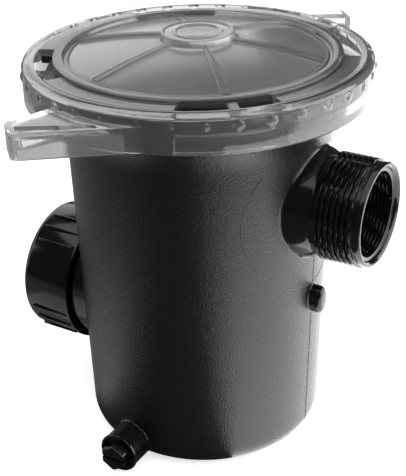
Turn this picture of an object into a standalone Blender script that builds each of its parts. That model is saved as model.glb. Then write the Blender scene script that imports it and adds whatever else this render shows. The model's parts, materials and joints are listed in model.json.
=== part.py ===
"""Strainer pot of a pool pump: pot, bayonet lid, basket, drain plug and outlet union.

Metres, +Z up. The origin is the centre of the pot's underside. +X is the axis of the
threaded inlet, -X that of the outlet union, and -Y the side of the drain plug.
"""

import math

import bmesh
import bpy

# Pot
POT_BOTTOM_RADIUS = 0.0709
POT_TOP_RADIUS = 0.0753
POT_BOTTOM_ROUND = 0.0139
POT_WALL = 0.0055
POT_CONE_TOP = 0.191
NECK_RADIUS = 0.0845
NECK_BOTTOM = 0.2110
RIM_TOP = 0.2256
MOUTH_RADIUS = 0.0728
LEDGE_Z = 0.2146

# Inlet with its pipe thread, along +X
INLET_Z = 0.159
INLET_FACE = 0.11165
THREAD_RADIUS = 0.03015
THREAD_START = 0.0856
THREAD_PITCH = 0.003175
THREAD_TURNS = 7
THREAD_DEPTH = 0.0019
INLET_BORE = 0.022
INLET_SOCKET = 0.024
INLET_MOUTH = 0.0268

# Outlet stub and union, along -X
OUTLET_Z = 0.0737
OUTLET_BORE = 0.024
STUB_RADIUS = 0.0368
STUB_END = 0.096
STUB_FOOT = 0.0388
NUT_RADIUS_NEAR = 0.0430
NUT_RADIUS_FAR = 0.0422
NUT_START = 0.0741
NUT_LENGTH = 0.0344
NUT_BORE = 0.0373
NUT_GRIP_HEIGHT = 0.0009
NUT_GRIP_MIDDLE = -29.0
UNION_SEAL_RADIUS = 0.029
UNION_SEAL_SECTION = 0.0017
UNION_SEAL_GROOVE = 0.0026
TAIL_END = 0.1147
TAIL_RADIUS = 0.028
TAIL_SOCKET = 0.02415
TAIL_COLLAR = 0.0366
COLLAR_LENGTH = 0.0052

# Drain boss and plug, along -Y
DRAIN_X = -0.009
DRAIN_Z = 0.0130
BOSS_RADIUS = 0.0122
BOSS_END = 0.0868
BOSS_RECESS_RADIUS = 0.0102
BOSS_RECESS = 0.0800
PLUG_FLANGE = 0.0096
PLUG_SHANK = 0.0065
PLUG_SHANK_START = 0.0690
PLUG_FLANGE_START = 0.0818
PLUG_HEAD_RADIUS = 0.0084
PLUG_HEAD_END = 0.0930
PLUG_SLOT_WIDTH = 0.0016
PLUG_SLOT_DEPTH = 0.0020

# Lid
LID_RADIUS = 0.0968
SKIRT_WALL = 0.003
SKIRT_BOTTOM = 0.2124
SHOULDER_TOP = 0.2341
PLATE_TOP = 0.2330
PLATE_BOTTOM = 0.2300
DOME_TOP = 0.2420
DOME_EDGE_RADIUS = 0.0705
DOME_EDGE_Z = 0.2335
DOME_WALL = 0.0034
HUB_RADIUS = 0.020
HUB_TOP = 0.2455
SEAL_RADIUS = 0.0751
SEAL_SECTION = 0.0022
SEAL_SLACK = 0.0006
SEAL_RING_INNER = 0.0740
SEAL_RING_OUTER = 0.0800
SEAL_RING_TOP = 0.2350
SLOT_CENTRE = 40.5
SLOT_SPAN = 35.0
SLOT_INNER = 0.0795
SLOT_OUTER = 0.0898
LUG_INNER = 0.0857
LID_LUG_TOP = 0.2206
POT_LUG_OUTER = 0.0930
POT_LUG_BOTTOM = 0.2212
POT_LUG_SPAN = 42.0
RIB_FIRST = 12.0
HANDLE_TOP = 0.2270
HANDLE_BOTTOM = 0.2130
TIP_FRONT = (-0.0268, -0.1318)
HANDLE_WALL = 0.003
HANDLE_ROOF = 0.0042
HANDLE_DISH = 0.0022

# Basket and its bail
BASKET_RIM_RADIUS = 0.0722
BASKET_RIM_Z = 0.2164
BASKET_TOP_RADIUS = 0.0663
BASKET_BOTTOM_RADIUS = 0.0605
BASKET_BOTTOM = 0.038
BASKET_WALL = 0.0022
BASKET_COLUMNS = 36
BAIL_Z = 0.2085
BAIL_RADIUS = 0.0545
BAIL_SECTION = 0.004
PIVOT_RADIUS = 0.002
EAR_RADIUS = 0.005
EAR_INNER = 0.0575

GAP = 0.0003
OVER = 0.002
ROUND_STEPS = 48
SMALL_STEPS = 36
PIN_STEPS = 24


def clear_scene():
    for item in list(bpy.data.objects):
        bpy.data.objects.remove(item)


def plastic(name, colour, roughness, transmission=0.0):
    material = bpy.data.materials.new(name)
    material.use_nodes = True
    shader = material.node_tree.nodes["Principled BSDF"]
    shader.inputs["Base Color"].default_value = (*colour, 1.0)
    shader.inputs["Roughness"].default_value = roughness
    shader.inputs["Transmission Weight"].default_value = transmission
    return material


def finish(bm, name, material=None):
    """Turns a bmesh into an object, with its normals out and its round faces smooth."""
    bmesh.ops.recalc_face_normals(bm, faces=bm.faces)
    mesh = bpy.data.meshes.new(name)
    bm.to_mesh(mesh)
    bm.free()
    mesh.shade_smooth()
    mesh.set_sharp_from_angle(angle=math.radians(32))
    if material:
        mesh.materials.append(material)
    made = bpy.data.objects.new(name, mesh)
    bpy.context.scene.collection.objects.link(made)
    return made


def turned(name, outline, material=None, steps=ROUND_STEPS):
    """A closed solid turned about Z from a closed outline of (radius, z) points."""
    bm = bmesh.new()
    rings = []
    for radius, z in outline:
        if radius == 0:
            rings.append([bm.verts.new((0, 0, z))] * steps)
            continue
        turns = [2 * math.pi * i / steps for i in range(steps)]
        rings.append(
            [bm.verts.new((radius * math.cos(a), radius * math.sin(a), z)) for a in turns]
        )
    for ring, following in zip(rings, rings[1:] + rings[:1]):
        for i in range(steps):
            j = (i + 1) % steps
            corners = dict.fromkeys([ring[i], ring[j], following[j], following[i]])
            if len(corners) > 2:
                bm.faces.new(list(corners))
    return finish(bm, name, material)


def prism(name, outline, low, high, material=None):
    """A flat outline of (x, y) points, drawn up from low to high."""
    bm = bmesh.new()
    base = bm.faces.new([bm.verts.new((x, y, low)) for x, y in outline])
    top = bmesh.ops.extrude_face_region(bm, geom=[base])["geom"]
    moved = [item for item in top if isinstance(item, bmesh.types.BMVert)]
    bmesh.ops.translate(bm, verts=moved, vec=(0, 0, high - low))
    return finish(bm, name, material)


def polar(radius, degrees):
    return (
        radius * math.cos(math.radians(degrees)),
        radius * math.sin(math.radians(degrees)),
    )


def arc(radius, start, end, steps):
    """Points on a circle about the origin, from start to end degrees."""
    return [polar(radius, start + (end - start) * i / steps) for i in range(steps + 1)]


def sector(name, inner, outer, low, high, centre, span, steps=6):
    """A block bent round Z, between two radii."""
    start, end = centre - span / 2, centre + span / 2
    outline = arc(outer, start, end, steps) + arc(inner, end, start, steps)
    return prism(name, outline, low, high)


def combine(base, other, operation, solver="EXACT"):
    """Joins a helper to a piece, or cuts it out of the piece, and hides the helper."""
    modifier = base.modifiers.new(other.name, "BOOLEAN")
    modifier.operation = operation
    modifier.object = other
    modifier.solver = solver
    other.hide_render = True
    other.display_type = "WIRE"


def along_plus_x(item, z):
    """Turns a piece made about Z so that its top points along +X, on an axis at height z."""
    item.rotation_euler = (0, math.pi / 2, 0)
    item.location = (0, 0, z)


def along_minus_x(item, z):
    item.rotation_euler = (0, -math.pi / 2, 0)
    item.location = (0, 0, z)


def along_drain(item):
    item.rotation_euler = (math.pi / 2, 0, 0)
    item.location = (DRAIN_X, 0, DRAIN_Z)


def quarter(centre, radius, start, steps):
    """A quarter round in an outline of (radius, z) points, from start degrees."""
    cx, cz = centre
    turned_by = [math.radians(start + 90 * i / steps) for i in range(steps + 1)]
    return [(cx + radius * math.cos(a), cz + radius * math.sin(a)) for a in turned_by]


def inlet_outline():
    """The outside of the inlet: neck, thread ridges and the plain end band."""
    root = THREAD_RADIUS - THREAD_DEPTH
    outline = [(0, 0.060), (0.0322, 0.060), (0.0314, 0.0745), (0.0296, 0.0785)]
    outline.append((root, 0.0815))
    for i in range(THREAD_TURNS):
        crest = THREAD_START + i * THREAD_PITCH
        outline.append((root, crest - 0.5 * THREAD_PITCH))
        outline.append((THREAD_RADIUS, crest))
    outline.append((root, THREAD_START + (THREAD_TURNS - 0.5) * THREAD_PITCH))
    outline.append((root, INLET_FACE))
    outline.append((0, INLET_FACE))
    return outline


def make_pot(material):
    floor_radius = POT_BOTTOM_RADIUS - POT_BOTTOM_ROUND
    foot = quarter((floor_radius, POT_BOTTOM_ROUND), POT_BOTTOM_ROUND, -90, 5)
    cove = [(0.0760, 0.1970), (0.0778, 0.2030), (0.0808, 0.2075)]
    outline = [(0, 0)] + foot
    outline += [(POT_TOP_RADIUS, POT_CONE_TOP)] + cove
    outline += [(NECK_RADIUS, NECK_BOTTOM), (NECK_RADIUS, RIM_TOP), (0, RIM_TOP)]
    pot = turned("pot_body", outline, material)

    for i in range(4):
        lug = sector(
            f"pot_lug_{i}",
            NECK_RADIUS - OVER,
            POT_LUG_OUTER,
            POT_LUG_BOTTOM,
            RIM_TOP,
            SLOT_CENTRE + 45 + 90 * i,
            POT_LUG_SPAN,
        )
        combine(pot, lug, "UNION")

    inlet = turned("inlet_outside", inlet_outline(), steps=SMALL_STEPS)
    along_plus_x(inlet, INLET_Z)
    combine(pot, inlet, "UNION")

    stub_outline = [
        (0, 0.055),
        (STUB_FOOT, 0.055),
        (STUB_FOOT, 0.0716),
        (STUB_RADIUS, 0.0734),
        (STUB_RADIUS, STUB_END),
        (0, STUB_END),
    ]
    stub = turned("outlet_outside", stub_outline, steps=SMALL_STEPS)
    along_minus_x(stub, OUTLET_Z)
    combine(pot, stub, "UNION")

    boss_outline = [
        (0, 0.052),
        (BOSS_RADIUS, 0.052),
        (BOSS_RADIUS, BOSS_END - 0.0008),
        (BOSS_RADIUS - 0.0008, BOSS_END),
        (0, BOSS_END),
    ]
    boss = turned("drain_boss_outside", boss_outline, steps=SMALL_STEPS)
    along_drain(boss)
    combine(pot, boss, "UNION")

    combine(pot, make_nub(), "UNION")

    bottom_inside = POT_BOTTOM_RADIUS - POT_WALL
    cavity_outline = [
        (0, POT_WALL),
        (bottom_inside - 0.007, POT_WALL),
        (bottom_inside, 0.013),
        (0.0693, LEDGE_Z),
        (MOUTH_RADIUS, LEDGE_Z),
        (MOUTH_RADIUS, RIM_TOP + OVER),
        (0, RIM_TOP + OVER),
    ]
    # From here on EXACT leaves open edges at the bores' mouths, so these cuts use MANIFOLD.
    combine(pot, turned("pot_cavity", cavity_outline), "DIFFERENCE", "MANIFOLD")

    inlet_bore_outline = [
        (0, 0.050),
        (INLET_BORE, 0.050),
        (INLET_BORE, 0.086),
        (INLET_SOCKET, 0.087),
        (INLET_SOCKET, INLET_FACE - 0.0045),
        (INLET_MOUTH - 0.0008, INLET_FACE - 0.0025),
        (INLET_MOUTH, INLET_FACE + OVER),
        (0, INLET_FACE + OVER),
    ]
    inlet_bore = turned("inlet_bore", inlet_bore_outline, steps=SMALL_STEPS)
    along_plus_x(inlet_bore, INLET_Z)
    combine(pot, inlet_bore, "DIFFERENCE", "MANIFOLD")

    outlet_bore_outline = [
        (0, 0.050),
        (OUTLET_BORE, 0.050),
        (OUTLET_BORE, STUB_END + OVER),
        (0, STUB_END + OVER),
    ]
    outlet_bore = turned("outlet_bore", outlet_bore_outline, steps=SMALL_STEPS)
    along_minus_x(outlet_bore, OUTLET_Z)
    combine(pot, outlet_bore, "DIFFERENCE", "MANIFOLD")

    groove_bottom = STUB_END - 2 * UNION_SEAL_SECTION - GAP
    groove_outline = [
        (UNION_SEAL_RADIUS - UNION_SEAL_GROOVE, groove_bottom),
        (UNION_SEAL_RADIUS + UNION_SEAL_GROOVE, groove_bottom),
        (UNION_SEAL_RADIUS + UNION_SEAL_GROOVE, STUB_END + OVER),
        (UNION_SEAL_RADIUS - UNION_SEAL_GROOVE, STUB_END + OVER),
    ]
    groove = turned("outlet_seal_groove", groove_outline, steps=SMALL_STEPS)
    along_minus_x(groove, OUTLET_Z)
    combine(pot, groove, "DIFFERENCE", "MANIFOLD")

    drain_outline = [
        (0, 0.055),
        (PLUG_SHANK + GAP, 0.055),
        (PLUG_SHANK + GAP, BOSS_RECESS),
        (BOSS_RECESS_RADIUS, BOSS_RECESS),
        (BOSS_RECESS_RADIUS, BOSS_END + OVER),
        (0, BOSS_END + OVER),
    ]
    drain_bore = turned("drain_bore", drain_outline, steps=PIN_STEPS)
    along_drain(drain_bore)
    combine(pot, drain_bore, "DIFFERENCE", "MANIFOLD")
    return pot


def make_nub():
    """The round-ended stub under the inlet, on the mould's parting line."""
    width, tall, reach, corner, middle = 0.0104, 0.0174, 0.0805, 0.0050, 0.0973
    outline = []
    for cx, cz, start in ((1, 1, 0), (-1, 1, 90), (-1, -1, 180), (1, -1, 270)):
        for i in range(5):
            a = math.radians(start + 90 * i / 4)
            y = cx * (width / 2 - corner) + corner * math.cos(a)
            z = cz * (tall / 2 - corner) + corner * math.sin(a)
            outline.append((y, z))
    nub = prism("nub", outline, 0.065, reach)
    # The outline's own x and y become +Y and +Z, and its height becomes +X.
    nub.rotation_euler = (math.pi / 2, 0, math.pi / 2)
    nub.location = (0, 0, middle)
    return nub


def dome_z(radius):
    """Height of the lid's domed outer face, part of a ball through top and edge."""
    rise = DOME_TOP - DOME_EDGE_Z
    ball = (DOME_EDGE_RADIUS**2 + rise**2) / (2 * rise)
    return DOME_TOP - ball + math.sqrt(ball**2 - radius**2)


def lid_outline():
    channel_in = SEAL_RADIUS - SEAL_SECTION - SEAL_SLACK
    channel_out = SEAL_RADIUS + SEAL_SECTION + SEAL_SLACK
    lip_in, lip_out = channel_in - 0.0016, channel_out + 0.0012
    inside = LID_RADIUS - SKIRT_WALL
    top = [(0, HUB_TOP), (HUB_RADIUS, HUB_TOP)]
    top += [(HUB_RADIUS + 0.0008, dome_z(HUB_RADIUS))]
    top += [(r, dome_z(r)) for r in (0.037, 0.054, DOME_EDGE_RADIUS)]
    top += [(DOME_EDGE_RADIUS + 0.0006, 0.2326), (SEAL_RING_INNER - 0.0006, 0.2326)]
    top += [(SEAL_RING_INNER, SEAL_RING_TOP), (SEAL_RING_OUTER - 0.0006, SEAL_RING_TOP)]
    top += [(SEAL_RING_OUTER, SEAL_RING_TOP - 0.0006), (SEAL_RING_OUTER, PLATE_TOP)]
    top += [(0.0895, PLATE_TOP), (0.0908, SHOULDER_TOP)]
    top += [(LID_RADIUS - 0.0028, SHOULDER_TOP), (LID_RADIUS - 0.0009, SHOULDER_TOP - 0.0009)]
    top += [(LID_RADIUS, SHOULDER_TOP - 0.0028)]
    skirt = [(LID_RADIUS, SKIRT_BOTTOM), (inside, SKIRT_BOTTOM), (inside, PLATE_BOTTOM)]
    low, roof = 0.2275, 0.2306
    under = [(lip_out, PLATE_BOTTOM), (lip_out, low)]
    under += [(channel_out, low), (channel_out, roof), (channel_in, roof)]
    under += [(channel_in, low), (lip_in, low), (lip_in, 0.2292)]
    under += [(r, dome_z(r) - DOME_WALL) for r in (0.068, 0.046, 0.024)]
    under += [(0, DOME_TOP - DOME_WALL)]
    return top + skirt + under


def make_rib(degrees, inner, outer, narrow, wide, height):
    """A raised rib along a radius of the lid. It follows the dome, and widens outwards."""
    stations = 4
    bm = bmesh.new()
    sections = []
    for i in range(stations + 1):
        share = i / stations
        radius = inner + (outer - inner) * share
        half = (narrow + (wide - narrow) * share) / 2
        surface = dome_z(min(radius, DOME_EDGE_RADIUS))
        high, low = surface + height, surface - 0.0022
        corners = [(radius, half, low), (radius, half, high)]
        corners += [(radius, -half, high), (radius, -half, low)]
        sections.append([bm.verts.new(corner) for corner in corners])
    for one, two in zip(sections, sections[1:]):
        for i in range(4):
            j = (i + 1) % 4
            bm.faces.new([one[i], one[j], two[j], two[i]])
    bm.faces.new(sections[0])
    bm.faces.new(sections[-1])
    rib = finish(bm, f"lid_rib_{degrees:.0f}")
    rib.rotation_euler = (0, 0, math.radians(degrees))
    return rib


def rounded(points, radii, steps=4):
    """Rounds each corner of a flat outline by a curve that starts radius away from it."""
    outline = []
    for i, (corner, radius) in enumerate(zip(points, radii)):
        before, after = points[i - 1], points[(i + 1) % len(points)]
        ends = []
        for other in (before, after):
            length = math.dist(corner, other)
            share = radius / length
            ends.append([c + (o - c) * share for c, o in zip(corner, other)])
        if radius == 0:
            outline.append(tuple(corner))
            continue
        for k in range(steps + 1):
            t = k / steps
            outline.append(
                tuple(
                    (1 - t) ** 2 * a + 2 * t * (1 - t) * c + t**2 * b
                    for a, c, b in zip(ends[0], corner, ends[1])
                )
            )
    return outline


def handle_outline(inset):
    """Plan of the handle on the -Y side: a swept wedge that runs out of the rim."""
    tip_front = (TIP_FRONT[0] + 0.1 * inset, TIP_FRONT[1] + 1.35 * inset)
    tip_back = (-0.0410 + 1.35 * inset, -0.1178 + 0.1 * inset)
    rim = LID_RADIUS - 0.0012 + inset * 1.3
    back, front = 251.5 + inset * 1500, 287.0 - inset * 3000
    root_back, root_front = polar(rim, back), polar(rim, front)
    bend = (0.0085 - 1.2 * inset, -0.1045 + 0.9 * inset)
    corners = rounded([root_front, bend, tip_front, tip_back], [0, 0.012, 0.004, 0.004])
    corners.append(root_back)
    return corners + arc(rim, back + 3, front - 3, 4)


def dish_outline():
    """Plan of the shallow dish in the handle's top, behind the wall of its front edge."""
    along = (0.791, 0.612)
    corners = [(0.0016, 0.0018), (0.043, 0.0018), (0.041, 0.0055), (0.0008, 0.0108)]
    plan = [
        (
            TIP_FRONT[0] + s * along[0] - t * along[1],
            TIP_FRONT[1] + s * along[1] + t * along[0],
        )
        for s, t in corners
    ]
    return rounded(plan, [0.0025, 0.0015, 0.0015, 0.0025], 3)


def make_lid(material):
    lid = turned("lid", lid_outline(), material)
    for i in range(6):
        combine(lid, make_rib(RIB_FIRST + 60 * i, 0.0195, 0.0700, 0.0030, 0.0048, 0.0010), "UNION")
    for i in range(4):
        centre = SLOT_CENTRE + 90 * i
        lug = sector(
            f"lid_lug_{i}",
            LUG_INNER,
            LID_RADIUS - SKIRT_WALL / 2,
            SKIRT_BOTTOM,
            LID_LUG_TOP,
            centre,
            SLOT_SPAN,
        )
        combine(lid, lug, "UNION")
        slot = sector(
            f"lid_slot_{i}", SLOT_INNER, SLOT_OUTER, 0.2285, 0.2360, centre, SLOT_SPAN
        )
        combine(lid, slot, "DIFFERENCE")
    bridge = prism(
        "lid_bridge",
        [(0.0705, -0.0026), (0.0935, -0.0026), (0.0935, 0.0026), (0.0705, 0.0026)],
        PLATE_BOTTOM + 0.0004,
        PLATE_TOP + 0.0004,
    )
    bridge.rotation_euler = (0, 0, math.radians(RIB_FIRST + 300))
    combine(lid, bridge, "UNION")
    for i in range(2):
        handle = prism(f"handle_{i}", handle_outline(0), HANDLE_BOTTOM, HANDLE_TOP)
        pocket = prism(
            f"handle_pocket_{i}",
            handle_outline(HANDLE_WALL),
            HANDLE_BOTTOM - OVER,
            HANDLE_TOP - HANDLE_ROOF,
        )
        dish = prism(
            f"handle_dish_{i}", dish_outline(), HANDLE_TOP - HANDLE_DISH, HANDLE_TOP + OVER
        )
        for item in (handle, pocket, dish):
            item.rotation_euler = (0, 0, math.pi * i)
        combine(handle, pocket, "DIFFERENCE")
        combine(handle, dish, "DIFFERENCE")
        combine(lid, handle, "UNION")
    return lid


def ring(name, radius, section, material, steps=SMALL_STEPS, sides=8):
    """An O-ring about Z, centred on its own origin."""
    turns = [2 * math.pi * i / sides for i in range(sides)]
    outline = [(radius + section * math.cos(a), section * math.sin(a)) for a in turns]
    return turned(name, outline, material, steps)


def basket_stations():
    """(radius, z, what) from the rim down the wall to the middle of the bottom."""
    top = BASKET_RIM_Z - 0.0044

    def wall(z):
        share = (top - z) / (top - BASKET_BOTTOM)
        return BASKET_TOP_RADIUS + (BASKET_BOTTOM_RADIUS - BASKET_TOP_RADIUS) * share

    stations = [(BASKET_RIM_RADIUS, BASKET_RIM_Z, "solid")]
    stations += [(BASKET_TOP_RADIUS, BASKET_RIM_Z, "solid")]
    levels = (
        (top, "solid"),
        (0.2010, "slots"),
        (0.1860, "solid"),
        (0.1810, "window"),
        (0.1370, "solid"),
        (0.1320, "slots"),
        (0.1000, "solid"),
        (0.0950, "slots"),
        (0.0630, "solid"),
        (0.0580, "slots"),
        (0.0440, "solid"),
    )
    stations += [(wall(z), z, what) for z, what in levels]
    floor = (
        (0.0575, "solid"),
        (0.0530, "slots"),
        (0.0330, "solid"),
        (0.0280, "slots"),
        (0.0130, "solid"),
    )
    stations += [(r, BASKET_BOTTOM, what) for r, what in floor]
    return stations


def open_cell(column, what):
    if what == "slots":
        return column % 2 == 1
    if what == "window":
        half = 2
        facing = column < half or column >= BASKET_COLUMNS - half
        return facing or (column % 2 == 1 and column != BASKET_COLUMNS - half - 1)
    return False


def make_basket(material):
    bm = bmesh.new()
    rings = []
    for radius, z, _ in basket_stations():
        turns = [2 * math.pi * i / BASKET_COLUMNS for i in range(BASKET_COLUMNS)]
        rings.append(
            [bm.verts.new((radius * math.cos(a), radius * math.sin(a), z)) for a in turns]
        )
    whats = [what for _, _, what in basket_stations()]
    for one, two, what in zip(rings, rings[1:], whats):
        for i in range(BASKET_COLUMNS):
            j = (i + 1) % BASKET_COLUMNS
            if not open_cell(i, what):
                bm.faces.new([one[i], one[j], two[j], two[i]])
    bm.faces.new(rings[-1])
    basket = finish(bm, "strainer_basket", material)
    shell = basket.modifiers.new("wall", "SOLIDIFY")
    shell.thickness = BASKET_WALL
    shell.offset = 0
    shell.use_even_offset = True

    for side in (0, 1):
        ear = turned(
            f"basket_ear_{side}",
            [(0, EAR_INNER), (EAR_RADIUS, EAR_INNER), (EAR_RADIUS, 0.0652), (0, 0.0652)],
            steps=16,
        )
        hole = turned(
            f"basket_pivot_{side}",
            [(0, 0.050), (0.0023, 0.050), (0.0023, 0.070), (0, 0.070)],
            steps=16,
        )
        for item in (ear, hole):
            item.rotation_euler = (math.pi / 2 - math.pi * side, 0, 0)
            item.location = (0, 0, BAIL_Z)
        combine(basket, ear, "UNION", "MANIFOLD")
        combine(basket, hole, "DIFFERENCE", "MANIFOLD")
    return basket


def make_bail(material):
    """A half ring with a pin out of each end. It lies in the basket's mouth at rest."""
    steps = 20
    half = BAIL_SECTION / 2
    bm = bmesh.new()
    sections = []
    for i in range(steps + 1):
        a = math.radians(90 + 180 * i / steps)
        section = []
        for out, up in ((half, -half), (half, half), (-half, half), (-half, -half)):
            radius = BAIL_RADIUS + out
            section.append(bm.verts.new((radius * math.cos(a), radius * math.sin(a), up)))
        sections.append(section)
    for one, two in zip(sections, sections[1:]):
        for i in range(4):
            j = (i + 1) % 4
            bm.faces.new([one[i], one[j], two[j], two[i]])
    bm.faces.new(sections[0])
    bm.faces.new(sections[-1])
    bail = finish(bm, "basket_handle", material)
    bail.location = (0, 0, BAIL_Z)
    for side in (0, 1):
        outline = [(0, -0.0035), (0.0028, -0.0035), (0.0028, 0.0008)]
        outline += [(PIVOT_RADIUS, 0.0008), (PIVOT_RADIUS, 0.0095), (0, 0.0095)]
        pin = turned(f"bail_pin_{side}", outline, steps=16)
        pin.rotation_euler = (math.pi / 2 - math.pi * side, 0, 0)
        pin.location = (0, (BAIL_RADIUS + 0.0014) * (2 * side - 1), BAIL_Z)
        combine(bail, pin, "UNION")
    return bail


def make_union_nut(material):
    shoulder = STUB_END - NUT_START + GAP + COLLAR_LENGTH + GAP
    hole = TAIL_RADIUS + 0.0005
    outline = [
        (NUT_RADIUS_NEAR - 0.0008, 0),
        (NUT_RADIUS_NEAR, 0.0008),
        (NUT_RADIUS_FAR, NUT_LENGTH - 0.0025),
        (NUT_RADIUS_FAR - 0.0008, NUT_LENGTH - 0.0007),
        (NUT_RADIUS_FAR - 0.0027, NUT_LENGTH),
        (hole, NUT_LENGTH),
        (hole, shoulder),
        (NUT_BORE, shoulder),
        (NUT_BORE, 0),
    ]
    nut = turned("union_nut", outline, material)
    along_minus_x(nut, OUTLET_Z)
    nut.location.x = -NUT_START
    groups, ribs, spacing = 4, 3, 13.5
    for group in range(groups):
        for i in range(ribs):
            degrees = NUT_GRIP_MIDDLE + 360 / groups * group + spacing * (i - (ribs - 1) / 2)
            grip = sector(
                f"nut_grip_{group}_{i}",
                NUT_RADIUS_FAR - 0.0015,
                NUT_RADIUS_NEAR + NUT_GRIP_HEIGHT,
                0.003,
                0.0270,
                degrees,
                3.0,
                1,
            )
            along_minus_x(grip, OUTLET_Z)
            grip.location.x = -NUT_START
            combine(nut, grip, "UNION")
    return nut


def make_tailpiece(material):
    start = STUB_END + GAP
    collar_end = start + COLLAR_LENGTH
    stop_radius = 0.0205
    outline = [
        (stop_radius, start),
        (TAIL_COLLAR, start),
        (TAIL_COLLAR, collar_end),
        (TAIL_RADIUS, collar_end),
        (TAIL_RADIUS, TAIL_END - 0.0006),
        (TAIL_RADIUS - 0.0006, TAIL_END),
        (TAIL_SOCKET, TAIL_END),
        (TAIL_SOCKET, start + 0.0025),
        (stop_radius, start + 0.0025),
    ]
    tail = turned("union_tailpiece", outline, material, SMALL_STEPS)
    along_minus_x(tail, OUTLET_Z)
    return tail


def make_drain_plug(material):
    """Threaded shank, flange and slotted six-sided head, on the drain's axis."""
    head_start = PLUG_FLANGE_START + 0.0026
    outline = [
        (0, PLUG_SHANK_START),
        (PLUG_SHANK - 0.0010, PLUG_SHANK_START),
        (PLUG_SHANK, PLUG_SHANK_START + 0.0016),
        (PLUG_SHANK, PLUG_FLANGE_START),
        (PLUG_FLANGE, PLUG_FLANGE_START),
        (PLUG_FLANGE, head_start),
        (0, head_start),
    ]
    plug = turned("drain_plug", outline, material, PIN_STEPS)
    head = prism(
        "plug_head", arc(PLUG_HEAD_RADIUS, 30, 330, 5), head_start - 0.0010, PLUG_HEAD_END
    )
    half = PLUG_SLOT_WIDTH / 2
    slot = prism(
        "plug_slot",
        [(-0.0110, -half), (0.0110, -half), (0.0110, half), (-0.0110, half)],
        PLUG_HEAD_END - PLUG_SLOT_DEPTH,
        PLUG_HEAD_END + OVER,
    )
    for item in (plug, head, slot):
        along_drain(item)
    combine(plug, head, "UNION")
    combine(plug, slot, "DIFFERENCE")
    return plug


def make_drain_gasket(material):
    inner, outer = PLUG_SHANK + GAP, PLUG_FLANGE - 0.0004
    low, high = BOSS_RECESS + GAP, PLUG_FLANGE_START - GAP
    outline = [(inner, low), (outer, low), (outer, high), (inner, high)]
    gasket = turned("drain_plug_gasket", outline, material, PIN_STEPS)
    along_drain(gasket)
    return gasket


def main():
    clear_scene()
    black = plastic("pot_black_plastic", (0.018, 0.018, 0.018), 0.55)
    gloss = plastic("union_gloss_black", (0.010, 0.010, 0.010), 0.2)
    clear = plastic("lid_clear_plastic", (0.86, 0.87, 0.87), 0.06, 1.0)
    white = plastic("basket_pale_plastic", (0.70, 0.70, 0.68), 0.45)
    rubber = plastic("seal_black_rubber", (0.012, 0.012, 0.012), 0.6)

    make_pot(black)
    make_lid(clear)
    seal = ring("lid_o_ring", SEAL_RADIUS, SEAL_SECTION, rubber)
    seal.location = (0, 0, RIM_TOP + GAP + SEAL_SECTION)
    make_basket(white)
    make_bail(white)
    make_union_nut(gloss)
    make_tailpiece(gloss)
    union_seal = ring("union_o_ring", UNION_SEAL_RADIUS, UNION_SEAL_SECTION, rubber)
    along_minus_x(union_seal, OUTLET_Z)
    union_seal.location.x = -(STUB_END - UNION_SEAL_SECTION)
    make_drain_plug(gloss)
    make_drain_gasket(rubber)


main()
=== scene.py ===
"""Looks of the pool pump's strainer pot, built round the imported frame. Metres, +Z up.

The pot stands on its underside at the origin. +X is the threaded inlet, -X the outlet
union, and -Y the drain plug.
"""

import json
import math

import bmesh
import bpy
import numpy as np
from mathutils import Matrix, Vector


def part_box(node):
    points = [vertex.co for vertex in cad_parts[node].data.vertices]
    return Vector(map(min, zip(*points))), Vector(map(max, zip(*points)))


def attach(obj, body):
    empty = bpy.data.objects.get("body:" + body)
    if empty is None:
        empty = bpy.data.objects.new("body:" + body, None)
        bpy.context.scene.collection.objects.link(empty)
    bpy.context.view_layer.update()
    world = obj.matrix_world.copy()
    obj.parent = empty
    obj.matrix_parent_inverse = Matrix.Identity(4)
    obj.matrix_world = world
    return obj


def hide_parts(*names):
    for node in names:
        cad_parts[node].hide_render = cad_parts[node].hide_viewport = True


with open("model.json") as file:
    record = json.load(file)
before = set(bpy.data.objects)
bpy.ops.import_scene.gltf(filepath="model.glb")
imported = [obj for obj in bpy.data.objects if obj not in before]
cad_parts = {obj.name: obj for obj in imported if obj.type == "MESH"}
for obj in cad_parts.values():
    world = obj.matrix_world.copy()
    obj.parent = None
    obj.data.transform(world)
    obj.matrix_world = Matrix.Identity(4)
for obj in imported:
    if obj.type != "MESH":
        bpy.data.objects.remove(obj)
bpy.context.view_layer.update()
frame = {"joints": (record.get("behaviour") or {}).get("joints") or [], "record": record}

MM = 0.001
TAU = 2 * math.pi

# Axes and limits that come from the frame
JOINTS = {joint["name"]: joint for joint in frame["joints"]}
MOUNTS = {mount["name"]: mount for mount in frame["record"]["mounts"]}
OUTLET_Z = JOINTS["union_turn"]["pos_m"][2] / MM
DRAIN_X = JOINTS["drain_turn"]["pos_m"][0] / MM
DRAIN_Z = JOINTS["drain_turn"]["pos_m"][2] / MM
INLET_FACE = MOUNTS["inlet_face"]["pos_m"][0] / MM
TAIL_END = -MOUNTS["outlet_face"]["pos_m"][0] / MM
LID_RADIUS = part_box("lid")[1].x / MM
LID_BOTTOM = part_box("lid")[0].z / MM
LID_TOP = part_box("lid")[1].z / MM
RIM_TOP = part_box("pot_body")[1].z / MM
BAIL_Z = JOINTS["bail_swing"]["pos_m"][2] / MM
PLUG_END = -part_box("drain_plug")[0].y / MM
NUT_NEAR = -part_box("union_nut")[1].x / MM
NUT_FAR = -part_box("union_nut")[0].x / MM
NUT_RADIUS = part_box("union_nut")[1].y / MM

# Pot, in millimetres from here on
FOOT_RADIUS = 70.9
FOOT_ROUND = 13.9
CONE_TOP = 191.0
CONE_RADIUS = 75.3
NECK_RADIUS = 84.5
NECK_LOW = 211.0
MOUTH_RADIUS = 72.8
LEDGE_Z = 214.6
FLOOR = 5.5
INLET_Z = 159.0

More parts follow.
